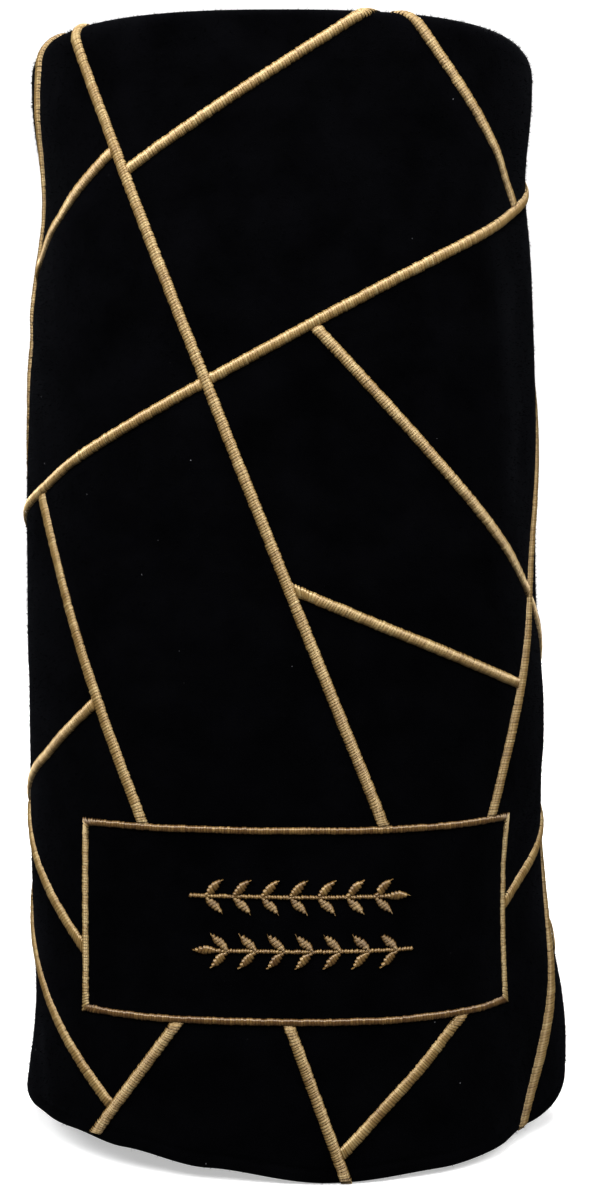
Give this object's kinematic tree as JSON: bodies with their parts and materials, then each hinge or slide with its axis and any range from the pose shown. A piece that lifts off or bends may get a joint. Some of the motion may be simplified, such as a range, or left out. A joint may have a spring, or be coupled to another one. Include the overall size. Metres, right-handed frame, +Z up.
{
  "type": "torah mantle",
  "caption": "Tall oval velvet cover that hangs over a rolled scroll from its stiff lid, with raised gold satin-stitch lines and a narrow stitched frame low in front.",
  "frame": {"origin": "middle of the lid's underside, where the scroll's rollers carry the mantle", "axes": "+Z up, the front faces -Y, +X is to the right of someone looking at the front"},
  "size_m": [0.4106, 0.2217, 0.8028],
  "materials": {
    "velvet": "matte short pile",
    "gold_thread": "satin thread"
  },
  "bodies": {
    "root": {"gold_back_drop": "gold_thread", "gold_back_fall": "gold_thread", "gold_back_short_drop": "gold_thread", "gold_edge": "gold_thread", "gold_frame": "gold_thread", "gold_helix_1": "gold_thread", "gold_helix_2": "gold_thread", "gold_hem_left_slant": "gold_thread", "gold_hem_left_tie": "gold_thread", "gold_hem_right_slant": "gold_thread", "gold_hem_right_tie": "gold_thread", "gold_hem_vee_left": "gold_thread", "gold_hem_vee_right": "gold_thread", "gold_left_fall_1": "gold_thread", "gold_left_fall_2": "gold_thread", "gold_left_strut": "gold_thread", "gold_left_tie": "gold_thread", "gold_long_steep": "gold_thread", "gold_low_left_fall": "gold_thread", "gold_mid_cross": "gold_thread", "gold_right_fall_1": "gold_thread", "gold_right_fall_2": "gold_thread", "gold_right_rise": "gold_thread", "gold_right_tie": "gold_thread", "gold_short_drop": "gold_thread", "gold_sprig_lower": "gold_thread", "gold_sprig_upper": "gold_thread", "gold_top_rise": "gold_thread", "lid": "velvet", "velvet_wrap": "velvet"}
  },
  "joints": []
}
